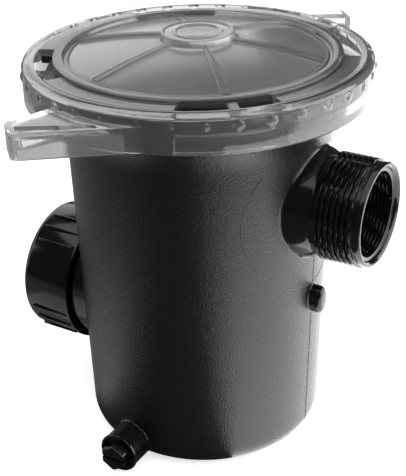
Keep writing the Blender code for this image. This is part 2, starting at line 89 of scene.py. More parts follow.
# Inlet
THREAD_RADIUS = 30.15
THREAD_DEPTH = 1.75
THREAD_PITCH = 3.175
THREAD_START = 84.6
THREAD_TURNS = 7.15
INLET_BORE = 22.0

# Outlet, union and drain plug. Starts, ends and reaches are measured from the pot's middle
STUB_END = 96.0
OUTLET_BORE = 24.0
UNION_SEAL_REACH = 94.3
UNION_SEAL_RADIUS = 29.0
UNION_SEAL_SECTION = 1.7
BOSS_RADIUS = 11.7
BOSS_END = 86.8
PLUG_BORE = 6.8
PLUG_FLANGE = 9.6
PLUG_FLANGE_START = 81.8
PLUG_FLANGE_END = 84.4

# Lid
SKIRT_INNER = LID_RADIUS - 3.0
DOME_EDGE = 70.5
DOME_EDGE_Z = 233.5
DOME_TOP = LID_TOP - 3.5
PLATE_TOP = 233.0
PLATE_LOW = 230.0
SEAL_RADIUS = 75.1
SEAL_SECTION = 2.2
SEAL_GAP = 0.3
SLOT_INNER = 79.5
SLOT_OUTER = 89.8
SLOT_CENTRE = 40.5
SLOT_SPAN = 35.0
RIB_FIRST = 12.0
HANDLE_TOP = 227.0
HANDLE_LOW = 213.0
TIP_FRONT = (-26.8, -131.8)


# ---------------------------------------------------------------- meshes


def new_object(name, points, faces, smooth=30):
    """An object from points in millimetres, shaded smooth up to an angle."""
    mesh = bpy.data.meshes.new(name)
    mesh.from_pydata((np.asarray(points, float) * MM).tolist(), [], faces)
    mesh.update()
    made = bpy.data.objects.new(name, mesh)
    bpy.context.scene.collection.objects.link(made)
    face_out(made)
    shade(made, smooth)
    return made


def face_out(item):
    bm = bmesh.new()
    bm.from_mesh(item.data)
    bmesh.ops.recalc_face_normals(bm, faces=bm.faces)
    bm.to_mesh(item.data)
    bm.free()


def shade(item, smooth=30):
    item.data.shade_smooth()
    item.data.set_sharp_from_angle(angle=math.radians(smooth))


def ring_faces(rings, steps, closed=True):
    """Quads between neighbouring rings of points, all with the same number of steps."""
    faces = []
    for k in range(rings if closed else rings - 1):
        m = (k + 1) % rings
        for i in range(steps):
            j = (i + 1) % steps
            faces.append((k * steps + i, k * steps + j, m * steps + j, m * steps + i))
    return faces


def angles(steps):
    return np.arange(steps) * TAU / steps


def turned(name, outline, steps=192, smooth=30, matrix=None):
    """A solid turned about Z from a closed outline of (radius, z) points."""
    turns = angles(steps)
    points, faces, index = [], [], []
    for radius, z in outline:
        if radius <= 0:
            index.append([len(points)] * steps)
            points.append((0.0, 0.0, z))
        else:
            index.append(list(range(len(points), len(points) + steps)))
            points += [(radius * math.cos(a), radius * math.sin(a), z) for a in turns]
    for one, two in zip(index, index[1:] + index[:1]):
        for i in range(steps):
            j = (i + 1) % steps
            corners = list(dict.fromkeys([one[i], one[j], two[j], two[i]]))
            if len(corners) > 2:
                faces.append(corners)
    made = new_object(name, points, faces, smooth)
    if matrix is not None:
        made.data.transform(matrix)
    return made


def along(direction, z, x=0.0):
    """Takes a piece made about Z to the axis at (x, z) that points in this direction."""
    turn = Vector((0, 0, 1)).rotation_difference(Vector(direction)).to_matrix().to_4x4()
    return Matrix.Translation((x * MM, 0, z * MM)) @ turn


def soften(outline, radius, steps=3):
    """Rounds the corners of an outline. Points on the axis stay, and so do slight bends."""
    made = []
    count = len(outline)
    for i, here in enumerate(outline):
        before, after = outline[i - 1], outline[(i + 1) % count]
        near, far = math.dist(here, before), math.dist(here, after)
        if here[0] <= 0 or min(near, far) < 1e-6:
            made.append(here)
            continue
        into = [(h - b) / near for h, b in zip(here, before)]
        out = [(a - h) / far for h, a in zip(here, after)]
        if sum(a * b for a, b in zip(into, out)) > 0.9:
            made.append(here)
            continue
        reach = min(radius, 0.45 * near, 0.45 * far)
        start = [h - d * reach for h, d in zip(here, into)]
        end = [h + d * reach for h, d in zip(here, out)]
        for k in range(steps + 1):
            t = k / steps
            made.append(
                tuple(
                    (1 - t) ** 2 * s + 2 * t * (1 - t) * h + t * t * e
                    for s, h, e in zip(start, here, end)
                )
            )
    return made


def polar(radius, degrees):
    a = math.radians(degrees)
    return (radius * math.cos(a), radius * math.sin(a))


def arc(radius, start, end, steps):
    return [polar(radius, start + (end - start) * k / steps) for k in range(steps + 1)]


def prism(name, outline, low, high, smooth=30):
    count = len(outline)
    points = [(x, y, z) for z in (low, high) for x, y in outline]
    faces = [tuple(range(count)), tuple(range(count, 2 * count))]
    for i in range(count):
        j = (i + 1) % count
        faces.append((i, j, count + j, count + i))
    return new_object(name, points, faces, smooth)


def bevelled(item, width, steps=3, angle=40):
    modifier = item.modifiers.new("edge", "BEVEL")
    modifier.width = width * MM
    modifier.segments = steps
    modifier.limit_method = "ANGLE"
    modifier.angle_limit = math.radians(angle)
    return settle(item)


def settle(item, smooth=30):
    """Applies a piece's modifiers."""
    graph = bpy.context.evaluated_depsgraph_get()
    mesh = bpy.data.meshes.new_from_object(item.evaluated_get(graph))
    item.modifiers.clear()
    item.data = mesh
    shade(item, smooth)
    return item


def joined(items, name):
    """One object from several, with its parts kept as separate shells."""
    bm = bmesh.new()
    for item in items:
        item.data.transform(item.matrix_basis)
        bm.from_mesh(item.data)
        bpy.data.objects.remove(item)
    mesh = bpy.data.meshes.new(name)
    bm.to_mesh(mesh)
    bm.free()
    made = bpy.data.objects.new(name, mesh)
    bpy.context.scene.collection.objects.link(made)
    return made


def combine(base, other, operation, smooth=30):
    modifier = base.modifiers.new("cut", "BOOLEAN")
    modifier.operation = operation
    modifier.object = other
    modifier.solver = "MANIFOLD"
    settle(base, smooth)
    bpy.data.objects.remove(other)
    return base


def smoothstep(low, high, value):
    t = np.clip((value - low) / (high - low), 0, 1)
    return t * t * (3 - 2 * t)


# ---------------------------------------------------------------- materials


class Nodes:
    """A short way to write a node material."""

    def __init__(self, name):
        self.material = bpy.data.materials.new(name)
        self.material.use_nodes = True
        self.tree = self.material.node_tree
        self.shader = self.tree.nodes["Principled BSDF"]
        self.coordinates = self.tree.nodes.new("ShaderNodeTexCoord").outputs["Object"]

    def add(self, kind, inputs=None, **settings):
        node = self.tree.nodes.new(kind)
        for key, value in settings.items():
            setattr(node, key, value)
        for key, value in (inputs or {}).items():
            if isinstance(value, bpy.types.NodeSocket):
                self.tree.links.new(value, node.inputs[key])
            else:
                node.inputs[key].default_value = value
        return node

    def noise(self, scale, detail=2.0, roughness=0.5):
        inputs = {"Vector": self.coordinates, "Scale": scale}
        inputs.update({"Detail": detail, "Roughness": roughness})
        return self.add("ShaderNodeTexNoise", inputs).outputs["Fac"]

    def ramp(self, value, stops):
        node = self.add("ShaderNodeValToRGB", {"Fac": value})
        elements = node.color_ramp.elements
        while len(elements) < len(stops):
            elements.new(0.5)
        for element, (place, colour) in zip(elements, stops):
            element.position = place
            element.color = (*colour, 1)
        return node.outputs["Color"]

    def spread(self, value, low, high, from_low=0.3, from_high=0.7):
        inputs = {"Value": value, "From Min": from_low, "From Max": from_high}
        inputs.update({"To Min": low, "To Max": high})
        return self.add("ShaderNodeMapRange", inputs).outputs["Result"]

    def math(self, operation, first, second):
        return self.add("ShaderNodeMath", {0: first, 1: second}, operation=operation).outputs[0]

    def blend(self, share, first, second):
        """One colour turning into another as share goes from 0 to 1."""
        inputs = {"Factor": share, 6: first, 7: (*second, 1)}
        return self.add("ShaderNodeMix", inputs, data_type="RGBA").outputs[2]

    def bump(self, height, strength, distance, normal=None):
        """A bump whose distance is in millimetres."""
        inputs = {"Height": height, "Strength": strength, "Distance": distance * MM}
        if normal:
            inputs["Normal"] = normal
        return self.add("ShaderNodeBump", inputs).outputs["Normal"]

    def set(self, **values):
        for key, value in values.items():
            socket = self.shader.inputs[key.replace("_", " ")]
            if isinstance(value, bpy.types.NodeSocket):
                self.tree.links.new(value, socket)
            else:
                socket.default_value = value


def pebbled_black():
    """Black plastic with the pebble grain of a spark-eroded mould, each grain a small gloss."""
    n = Nodes("pot_pebbled_black")
    pebbles = n.add(
        "ShaderNodeTexVoronoi", {"Vector": n.coordinates, "Scale": 1250.0, "Randomness": 1.0}
    ).outputs["Distance"]
    lumps = n.noise(900.0, 2.0, 0.6)
    cloud = n.noise(14.0, 3.0, 0.55)
    height = n.math("ADD", pebbles, lumps)
    colour = n.ramp(cloud, [(0.35, (0.0065, 0.0065, 0.0062)), (0.7, (0.0095, 0.0095, 0.009))])
    n.set(Base_Color=colour, Roughness=n.spread(lumps, 0.22, 0.36))
    n.set(Specular_IOR_Level=0.5, Normal=n.bump(height, 0.85, 0.18))
    return n.material


def polished_black():
    """Moulded black plastic with a polished skin, faintly uneven."""
    n = Nodes("polished_black")
    flow = n.noise(55.0, 2.0, 0.5)
    scuff = n.noise(900.0, 3.0, 0.7)
    colour = n.ramp(flow, [(0.3, (0.004, 0.004, 0.004)), (0.75, (0.0068, 0.0068, 0.0068))])
    n.set(Base_Color=colour, Roughness=n.spread(scuff, 0.10, 0.18))
    fine = n.bump(scuff, 0.05, 0.05)
    n.set(Specular_IOR_Level=0.5, Normal=n.bump(flow, 0.18, 0.5, fine))
    return n.material


def clear_plastic():
    """Slightly milky clear plastic. Its haze changes with the radius, in metres, and so does its grey:
    painted shade darkens it from the dome's edge across the groove and plate, and painted light makes it
    paler on the skirt and handles.
    """
    n = Nodes("lid_clear_plastic")
    flow = n.noise(38.0, 2.0, 0.5)
    scuff = n.noise(1300.0, 2.0, 0.6)
    apart = n.add("ShaderNodeSeparateXYZ", {"Vector": n.coordinates})
    squares = [n.math("POWER", apart.outputs[axis], 2.0) for axis in "XY"]
    radius = n.math("POWER", n.math("ADD", *squares), 0.5)
    top_haze = n.spread(radius, 0.15, 0.0, 0.086, 0.092)
    handle_haze = n.spread(radius, 0.0, 0.06, 0.097, 0.100)
    haze = n.math("ADD", top_haze, handle_haze)
    rough = n.math("ADD", haze, n.spread(scuff, 0.03, 0.08))

    # Painted shade: the raised ring is thick, so its wall looks nearly black edge on, and that darkness
    # is painted on it in near black.
    ring_wall_painted_shade = n.spread(radius, 0.0, 1.0, 0.0765, 0.0785)
    ring_wall_painted_shade = n.math("MULTIPLY", ring_wall_painted_shade, n.spread(radius, 1.0, 0.0, 0.0800, 0.0812))
    below_top = n.spread(apart.outputs["Z"], 1.0, 0.0, 0.2338, 0.2345)
    ring_wall_painted_shade = n.math("MULTIPLY", ring_wall_painted_shade, below_top)

    colour = n.ramp(flow, [(0.2, (0.46, 0.47, 0.46)), (0.8, (0.54, 0.55, 0.54))])
    # Painted shade: darker grey from the dome's edge out across the groove, raised ring and plate.
    colour = n.blend(n.spread(radius, 0.0, 1.0, 0.069, 0.072), colour, (0.22, 0.23, 0.22))
    # Painted light: paler grey on the skirt and handles, where they read bright.
    colour = n.blend(n.spread(radius, 0.0, 1.0, 0.094, 0.098), colour, (0.66, 0.67, 0.66))
    # Painted shade: the raised ring's wall is turned near black.
    colour = n.blend(ring_wall_painted_shade, colour, (0.02, 0.02, 0.02))
    n.set(Base_Color=colour, Roughness=rough)
    grain = n.bump(n.noise(420.0, 2.0, 0.6), 0.4, 0.12)
    n.set(Transmission_Weight=0.90, IOR=1.5, Normal=n.bump(flow, 0.15, 0.6, grain))

    # Light passes through it, so its shadow is pale.
    see_through = n.add("ShaderNodeBsdfTransparent", {"Color": (0.80, 0.81, 0.80, 1)})
    shadow = n.add("ShaderNodeLightPath").outputs["Is Shadow Ray"]
    mix = n.add(
        "ShaderNodeMixShader",
        {0: shadow, 1: n.shader.outputs["BSDF"], 2: see_through.outputs["BSDF"]},
    )
    output = n.tree.nodes["Material Output"]
    n.tree.links.new(mix.outputs["Shader"], output.inputs["Surface"])
    return n.material


def pale_plastic():
    """The basket's pale, slightly waxy plastic."""
    n = Nodes("basket_pale_plastic")
    cloud = n.noise(30.0, 3.0, 0.6)
    grain = n.noise(1500.0, 2.0, 0.6)
    colour = n.ramp(cloud, [(0.3, (0.50, 0.50, 0.49)), (0.7, (0.58, 0.58, 0.57))])
    n.set(Base_Color=colour, Roughness=n.spread(grain, 0.35, 0.5))
    n.set(Normal=n.bump(grain, 0.25, 0.08))
    return n.material


def seal_rubber():
    n = Nodes("seal_black_rubber")
    grain = n.noise(2200.0, 3.0, 0.6)
    colour = n.ramp(n.noise(60.0), [(0.3, (0.010, 0.010, 0.010)), (0.7, (0.018, 0.018, 0.018))])
    n.set(Base_Color=colour, Roughness=n.spread(grain, 0.42, 0.6))
    n.set(Normal=n.bump(grain, 0.3, 0.05))
    return n.material


def seen_directly(tree, bright, through, dim):
    """A value that is bright to the eye, less so through clear plastic, and dim in mirrors."""
    path = tree.nodes.new("ShaderNodeLightPath")
    value = dim
    for ray, level in (("Is Transmission Ray", through), ("Is Camera Ray", bright)):
        node = tree.nodes.new("ShaderNodeMapRange")
        tree.links.new(path.outputs[ray], node.inputs["Value"])
        node.inputs["To Max"].default_value = level
        if isinstance(value, bpy.types.NodeSocket):
            tree.links.new(value, node.inputs["To Min"])
        else:
            node.inputs["To Min"].default_value = value
        value = node.outputs["Result"]
    return value


def studio_floor():
    n = Nodes("studio_floor")
    n.set(Base_Color=seen_directly(n.tree, 0.90, 0.22, 0.10), Roughness=0.8)
    n.set(Emission_Color=(1, 1, 1, 1), Emission_Strength=seen_directly(n.tree, 0.7, 0.2, 0.0))
    return n.material


PEBBLED = pebbled_black()
POLISHED = polished_black()
CLEAR = clear_plastic()
PALE = pale_plastic()
RUBBER = seal_rubber()


def fit(item, body, material, replaces=()):
    """Gives a finished piece its material, and puts it on its body."""
    item.data.materials.clear()
    item.data.materials.append(material)
    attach(item, body)
    if replaces:
        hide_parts(*replaces)
    return item


# ---------------------------------------------------------------- pot


def pot_radius(z):
    """Radius of the pot's outside at height z, from the rounded foot up to the cove."""
    z = np.asarray(z, float)
    flat = FOOT_RADIUS - FOOT_ROUND
    below = np.clip(FOOT_ROUND - z, 0, FOOT_ROUND)
    foot = flat + np.sqrt(FOOT_ROUND**2 - below**2)
    share = (z - FOOT_ROUND) / (CONE_TOP - FOOT_ROUND)
    cone = FOOT_RADIUS + (CONE_RADIUS - FOOT_RADIUS) * share
    return np.where(z < FOOT_ROUND, foot, cone)


def pot_reach(across, z):
    """How far out along an axis the pot's side is, at this offset across the axis."""
    radius = pot_radius(z)
    return np.sqrt(np.maximum(radius**2 - np.asarray(across) ** 2, 1.0))


def pot_outline():
    steps = 10
    foot = []
    for k in range(steps + 1):
        a = math.radians(-90 + 90 * k / steps)
        x = FOOT_RADIUS - FOOT_ROUND + FOOT_ROUND * math.cos(a)
        foot.append((x, FOOT_ROUND + FOOT_ROUND * math.sin(a)))
    side = [(float(pot_radius(z)), z) for z in np.linspace(20, CONE_TOP, 29)]
    cove = []
    ends = ((CONE_RADIUS, CONE_TOP), (75.5, 199.5), (79.0, 206.0), (NECK_RADIUS, NECK_LOW))
    for k in range(1, 11):
        t = k / 10
        weights = ((1 - t) ** 3, 3 * t * (1 - t) ** 2, 3 * t * t * (1 - t), t**3)
        cove.append(tuple(sum(w * e[i] for w, e in zip(weights, ends)) for i in (0, 1)))
    rim = [(NECK_RADIUS, RIM_TOP), (MOUTH_RADIUS, RIM_TOP), (MOUTH_RADIUS, LEDGE_Z)]
    inside = [(69.3, LEDGE_Z), (65.4, 13.0), (62.0, 7.5), (58.0, FLOOR), (0, FLOOR)]
    return [(0, 0), (30, 0.0)] + foot + side + cove + soften(rim, 0.6) + inside


def make_pot():
    pot = turned("pot_shell", pot_outline(), 192, 40)
    lugs = []
    for i in range(4):
        middle, half = SLOT_CENTRE + 45 + 90 * i, 21
        plan = arc(93.0, middle - half, middle + half, 20)
        plan += arc(NECK_RADIUS - 1.5, middle + half, middle - half, 20)
        lugs.append(bevelled(prism("lug", plan, 221.2, RIM_TOP - 0.05), 0.5, 2))
    combine(pot, joined(lugs, "lugs"), "UNION", 40)
    bores = []
    for direction, x, z, radius in (
        ((1, 0, 0), 0, INLET_Z, INLET_BORE + 0.5),
        ((-1, 0, 0), 0, OUTLET_Z, OUTLET_BORE + 0.5),
        ((0, -1, 0), DRAIN_X, DRAIN_Z, PLUG_BORE + 0.4),
    ):
        outline = [(0, 50), (radius, 50), (radius, 90), (0, 90)]
        bores.append(turned("bore", outline, 96, 30, along(direction, z, x)))
    combine(pot, joined(bores, "bores"), "DIFFERENCE", 40)
    return fit(pot, "pot", PEBBLED, ["pot_body"])


def port_mesh(
    name, rows, steps, z, direction=0.0, shift=0.0, stretch=(1.0, 1.0), smooth=40, closed=True
):
    """A port on the pot's side, from rows of (radius, reach, lift) arrays over the angle.

    A row's points are at reach along the axis or, where reach is None, at that lift over
    the pot's own surface. The axis is turned about Z by direction, in degrees.
    """
    turns = angles(steps)
    points = []
    for radius, reach, lift in rows:
        radius = np.broadcast_to(radius, (steps,))
        across = shift + radius * np.cos(turns) * stretch[0]
        height = np.maximum(z + radius * np.sin(turns) * stretch[1], 0.1)
        if reach is None:
            reach = pot_reach(across, height) + lift
        reach = np.broadcast_to(reach, (steps,))
        points.append(np.stack([reach, across, height], 1))
    faces = ring_faces(len(rows), steps, closed)
    if not closed:
        faces.append(tuple(range(steps)))
        last = (len(rows) - 1) * steps
        faces.append(tuple(range(last, last + steps)))
    points = np.concatenate(points)
    a = math.radians(direction)
    turned_x = points[:, 0] * math.cos(a) - points[:, 1] * math.sin(a)
    turned_y = points[:, 0] * math.sin(a) + points[:, 1] * math.cos(a)
    points = np.stack([turned_x, turned_y, points[:, 2]], 1)
    return new_object(name, points, faces, smooth)


def root_rows(neck, fillet):
    """Rows of the rounded foot where a neck of this radius grows out of the pot."""
    rows = [(neck + fillet + 0.6, None, -0.5)]
    for k in range(8):
        a = math.radians(90 * k / 7)
        radius = neck + fillet * (1 - math.sin(a))
        rows.append((radius, None, fillet * (1 - math.cos(a)) + 0.02))
    return rows


def blend_rows(steps, z, start_radius, start_lift, end_radius, end_reach, count, shift=0.0):
    """Rows that run from a lift over the pot's surface to a flat ring."""
    turns = angles(steps)
    across, height = shift + start_radius * np.cos(turns), z + start_radius * np.sin(turns)
    start = pot_reach(across, height) + start_lift
    rows = []
    for k in range(1, count + 1):
        t = k / count
        radius = start_radius + (end_radius - start_radius) * t**1.4
        rows.append((radius, start + (end_reach - start) * t, None))
    return rows


def thread_rows(steps, start, end, spacing, root, depth, pitch, first, turns_long, crest, flats):
    """Rows of a right-hand thread, as ridges on a root radius, with flats at the mould line."""
    turns = angles(steps)
    rows = []
    count = int(round((end - start) / spacing))
    for k in range(count + 1):
        reach = start + (end - start) * k / count
        along_thread = (reach - first) / pitch - turns / TAU
        nearest = np.round(along_thread)
        offset = np.abs(along_thread - nearest)
        ridge = 1 - smoothstep(crest / 2, crest / 2 + 0.17, offset)
        place = nearest + turns / TAU
        ridge = ridge * smoothstep(0.0, 0.012, place) * (1 - smoothstep(-0.012, 0, place - turns_long))
        if flats:
            from_flat = np.abs(turns % math.pi - math.pi / 2)
            ridge = ridge * smoothstep(math.radians(4.5), math.radians(6.5), from_flat)
        rows.append((root + depth * ridge, reach, None))
    return rows


def make_inlet():
    """The inlet: rounded root, glossy neck, outside and inside threads, and the bore."""
    steps = 288
    root = THREAD_RADIUS - THREAD_DEPTH
    neck, fillet = 31.3, 1.65
    rows = root_rows(neck, fillet)
    rows += blend_rows(steps, INLET_Z, neck, fillet, 29.1, 80.6, 12)
    rows += [(28.7, 81.6, None), (root, 82.4, None)]
    rows += thread_rows(
        steps, 82.8, 108.2, 0.16, root, THREAD_DEPTH, THREAD_PITCH, THREAD_START, THREAD_TURNS, 0.46, True
    )
    face = [(root + 0.1, 108.4), (root + 0.45, 108.6), (28.85, 111.1), (28.6, 111.5)]
    face += [(28.35, INLET_FACE), (27.4, INLET_FACE), (27.1, 111.45), (26.3, 110.9)]
    face += [(25.9, 110.5), (25.75, 109.4), (25.5, 109.15), (24.9, 109.05)]
    rows += [(radius, reach, None) for radius, reach in face]
    inside = thread_rows(steps, 89.5, 108.8, 0.16, 23.85, 0.8, 2.25, 88.0, 9.0, 0.3, False)
    rows += inside[::-1]
    rows += [(INLET_BORE + 0.4, 88.9, None), (INLET_BORE, 88.0, None)]
    rows += [(INLET_BORE, 76.0, None), (INLET_BORE, None, -6.2)]
    port = port_mesh("inlet_port", rows, steps, INLET_Z)
    return fit(port, "pot", POLISHED)


def make_outlet():
    """The outlet stub that the union nut screws onto, with its coarse thread."""
    steps = 192
    neck, fillet = 38.6, 1.6
    rows = root_rows(neck, fillet)
    rows += blend_rows(steps, OUTLET_Z, neck, fillet, 38.4, 72.6, 3)
    rows += [(38.0, 73.0, None), (35.6, 73.6, None)]
    rows += thread_rows(steps, 75.0, 94.4, 0.4, 35.3, 1.45, 6.343, 77.0, 2.6, 0.34, False)
    face = [(35.0, STUB_END - 0.4), (34.4, STUB_END), (31.7, STUB_END), (31.6, 92.4)]
    face += [(26.4, 92.4), (26.3, STUB_END), (24.4, STUB_END), (OUTLET_BORE, STUB_END - 0.4)]
    rows += [(radius, reach, None) for radius, reach in face]
    rows += [(OUTLET_BORE, 80.0, None), (OUTLET_BORE, None, -6.0)]
    port = port_mesh("outlet_stub", rows, steps, OUTLET_Z, 180)
    return fit(port, "pot", POLISHED)


def make_drain_boss():
    """The drain's short straight boss, with a rim round the recess that takes the plug."""
    steps = 128
    rows = root_rows(BOSS_RADIUS, 1.0)
    rows += blend_rows(steps, DRAIN_Z, BOSS_RADIUS, 1.0, BOSS_RADIUS, 84.0, 4, DRAIN_X)
    side = [(11.75, 84.6), (12.1, 84.9), (12.2, 85.3), (12.2, BOSS_END - 0.7)]
    side += [(12.0, BOSS_END - 0.2), (11.6, BOSS_END), (10.8, BOSS_END), (10.35, BOSS_END - 0.2)]
    side += [(10.2, BOSS_END - 0.6), (10.2, 80.2), (10.0, 80.0), (PLUG_BORE + 0.3, 80.0)]
    side += [(PLUG_BORE, 80.3), (PLUG_BORE, 76.0)]
    rows += [(radius, reach, None) for radius, reach in side]
    rows += [(PLUG_BORE, None, -6.0)]
    boss = port_mesh("drain_boss", rows, steps, DRAIN_Z, -90, DRAIN_X)
    return fit(boss, "pot", POLISHED)


def make_nub():
    """The short oval stub on the parting line, with well-rounded edges."""
    steps = 64
    rows = root_rows(4.95, 0.7)
    side = [(4.95, 77.0), (4.9, 78.2), (4.7, 79.1), (4.3, 79.8), (3.7, 80.25), (2.9, 80.45)]
    side += [(1.6, 80.5), (0.3, 80.5)]
    rows += [(radius, reach, None) for radius, reach in side]
    nub = port_mesh("mould_nub", rows, steps, 97.3, 0, 0, (1.05, 1.75), 50, False)
    return fit(nub, "pot", POLISHED)


def bead(name, path, outwards, width, height):
    """A low half-round line along a path, lying on the pot's surface."""
    sides = 6
    path, outwards = np.asarray(path, float), np.asarray(outwards, float)
    ahead = np.gradient(path, axis=0)
    across = np.cross(ahead, outwards)
    across /= np.linalg.norm(across, axis=1, keepdims=True)
    rings = []
    for k in range(sides):
        a = TAU * k / sides
        rings.append(path + across * math.cos(a) * width / 2 + outwards * math.sin(a) * height)
    points = np.stack(rings, 1).reshape(-1, 3)
    faces = ring_faces(len(path), sides, False)
    faces += [tuple(range(sides)), tuple(range(len(points) - sides, len(points)))]
    return new_object(name, points, faces, 60)


def seam_path(low, high, direction):
    z = np.linspace(low, high, 60)
    radius = pot_radius(z)
    path = np.stack([radius * direction, np.zeros_like(z), z], 1)
    outwards = np.tile([direction, 0.0, 0.0], (len(z), 1))
    return path, outwards


def make_mould_lines():
    """The parting line down both sides, and the round witness line about the inlet."""
    lines = []
    for low, high, direction in ((9, 88, 1), (107, 126, 1), (9, 32, -1), (115.5, 190, -1)):
        lines.append(bead("line", *seam_path(low, high, direction), 0.5, 0.22))
    sweep = np.radians(np.linspace(148, 392, 240))
    across, height = 51 * np.cos(sweep), INLET_Z + 51 * np.sin(sweep)
    reach = pot_reach(across, height)
    path = np.stack([reach, across, height], 1)
    outwards = np.stack([reach, across, np.zeros_like(reach)], 1)
    outwards /= np.linalg.norm(outwards, axis=1, keepdims=True)
    lines.append(bead("line", path, outwards, 0.55, 0.16))
    return fit(joined(lines, "mould_lines"), "pot", POLISHED)


# ---------------------------------------------------------------- lid


def dome_z(radius):
    rise = DOME_TOP - DOME_EDGE_Z
    ball = (DOME_EDGE**2 + rise**2) / (2 * rise)
    return DOME_TOP - ball + math.sqrt(ball**2 - radius**2)


def lid_outline():
    """(radius, z) loop of the lid, with closely spaced rows where the skirt has its bumps."""
    top = [(0, 244.6), (11.2, 244.6), (11.7, 244.8), (12.1, 245.3), (12.6, LID_TOP)]
    top += [(13.4, LID_TOP), (13.8, 245.2), (14.2, 244.9), (18.2, 244.9), (18.6, 245.2)]
    top += [(19.0, LID_TOP), (19.6, LID_TOP), (20.0, 245.2), (20.2, 244.6), (20.6, 242.6)]
    top += [(21.0, dome_z(21.0) + 0.5), (21.8, dome_z(21.8) + 0.12), (23.0, dome_z(23.0))]
    top += [(r, dome_z(r)) for r in np.linspace(27, 69.2, 12)]
    top += [(70.3, 233.45), (70.8, 233.0), (71.2, 232.6), (71.7, 232.4), (73.0, 232.4)]
    top += [(73.4, 232.6), (73.7, 233.2), (74.0, 234.1), (74.4, 234.7), (75.0, 235.0)]
    top += [(78.6, 235.0), (79.2, 234.85), (79.6, 234.5), (79.8, 233.9), (79.9, 233.3)]
    top += [(80.4, PLATE_TOP), (85.0, PLATE_TOP), (88.6, PLATE_TOP), (89.5, 233.1)]
    top += [(90.3, 233.45), (91.1, 233.85), (92.2, 234.05), (93.4, 234.05), (94.6, 233.75)]
    top += [(95.6, 233.15), (96.3, 232.3), (96.7, 231.4), (LID_RADIUS, 230.9)]
    side = [(LID_RADIUS, z) for z in (*np.linspace(230.6, 225.0, 19), 223.0, 219.0)]
    side += [(LID_RADIUS, 213.4), (96.4, 212.7), (95.9, LID_BOTTOM), (94.5, LID_BOTTOM)]
    side += [(94.0, 212.7), (SKIRT_INNER, 213.2), (SKIRT_INNER, 221.5)]
    side += [(SKIRT_INNER, 229.0), (93.4, 229.7), (92.8, PLATE_LOW), (79.5, PLATE_LOW)]
    under = [(79.1, 229.8), (79.1, 227.9), (78.8, 227.5), (78.2, 227.5), (77.9, 227.9)]
    under += [(77.9, 230.2), (77.5, 230.6), (72.7, 230.6), (72.3, 230.2), (72.3, 227.9)]
    under += [(71.9, 227.5), (71.1, 227.5), (70.7, 227.9), (70.7, 229.0), (70.0, 230.0)]
    under += [(r, dome_z(r) - 3.4) for r in (68.6, *np.linspace(64, 6, 11))]
    return top + side + under + [(0, DOME_TOP - 3.4)]


def lid_body():
    """The turned part of the lid, with 36 small round bumps set into its skirt."""
    steps, bumps, bump_z, bump_size, bump_high = 720, 36, 227.8, 2.6, 0.95
    turns = angles(steps)
    phase = (np.degrees(turns) - 2.25) % (360 / bumps)
    from_bump = np.radians(np.minimum(phase, 360 / bumps - phase)) * LID_RADIUS
    points, faces, index = [], [], []
    for radius, z in lid_outline():
        if radius <= 0:
            index.append([len(points)] * steps)
            points.append((0.0, 0.0, z))
            continue
        radii = np.full(steps, float(radius))
        if radius == LID_RADIUS:
            away = np.sqrt(from_bump**2 + (z - bump_z) ** 2) / bump_size
            radii += bump_high * np.sqrt(np.clip(1 - away**2, 0, 1))
        index.append(list(range(len(points), len(points) + steps)))
        points += np.stack([radii * np.cos(turns), radii * np.sin(turns), np.full(steps, z)], 1).tolist()
    for one, two in zip(index, index[1:] + index[:1]):
        for i in range(steps):
            j = (i + 1) % steps
            corners = list(dict.fromkeys([one[i], one[j], two[j], two[i]]))
            if len(corners) > 2:
                faces.append(corners)
    return new_object("lid_clear", points, faces, 30)


def lid_rib(degrees, inner, outer, narrow, wide, lift, edge=0.75):
    """A low rib along a radius, with a raised edge down each side. It follows the dome."""
    stations = 16
    points = []
    for k in range(stations + 1):
        share = k / stations
        radius = inner + (outer - inner) * share
        half = (narrow + (wide - narrow) * share) / 2
        surface = dome_z(min(radius, DOME_EDGE))
        high, low, middle = surface + lift, surface - 1.6, surface + 0.35 * lift
        side = [(half, low), (half, high - 0.2), (half - 0.2, high), (half - edge + 0.2, high)]
        side += [(half - edge, middle)]
        section = [(-y, z) for y, z in side] + side[::-1]
        points += [(radius, y, z) for y, z in section]
    sides = len(section)
    faces = ring_faces(stations + 1, sides, False)
    faces += [tuple(range(sides)), tuple(range(len(points) - sides, len(points)))]
    rib = new_object("rib", points, faces)
    rib.data.transform(Matrix.Rotation(math.radians(degrees), 4, "Z"))
    return rib


def rounded(points, radii, steps=6):
    outline = []
    for i, (corner, radius) in enumerate(zip(points, radii)):
        if radius == 0:
            outline.append(tuple(corner))
            continue
        ends = []
        for other in (points[i - 1], points[(i + 1) % len(points)]):
            share = radius / math.dist(corner, other)
            ends.append([c + (o - c) * share for c, o in zip(corner, other)])
        for k in range(steps + 1):
            t = k / steps
            outline.append(
                tuple(
                    (1 - t) ** 2 * a + 2 * t * (1 - t) * c + t * t * b
                    for a, c, b in zip(ends[0], corner, ends[1])
                )
            )
    return outline


def handle_plan(inset):
    """Plan of the handle on the -Y side, a swept wedge that runs out of the rim."""
    tip_front = (TIP_FRONT[0] + 0.1 * inset, TIP_FRONT[1] + 1.35 * inset)
    tip_back = (-41.0 + 1.35 * inset, -117.8 + 0.1 * inset)
    rim = LID_RADIUS - 1.2 + inset * 1.3
    back, front = 251.5 + inset * 1.5, 287.0 - inset * 3.0
    bend = (8.5 - 1.2 * inset, -104.5 + 0.9 * inset)
    corners = [polar(rim, front), bend, tip_front, tip_back]
    outline = rounded(corners, [0, 12, 4.5, 4.5])
    outline.append(polar(rim, back))
    return outline + arc(rim, back + 2, front - 2, 16)


def dish_plan():
    """Plan of the shallow dish in the handle's top, behind its front edge."""
    ahead = (0.791, 0.612)
    corners = [(1.6, 1.8), (43, 1.8), (41, 5.5), (0.8, 10.8)]
    plan = []
    for s, t in corners:
        x = TIP_FRONT[0] + s * ahead[0] - t * ahead[1]
        plan.append((x, TIP_FRONT[1] + s * ahead[1] + t * ahead[0]))
    return rounded(plan, [2.5, 1.5, 1.5, 2.5])


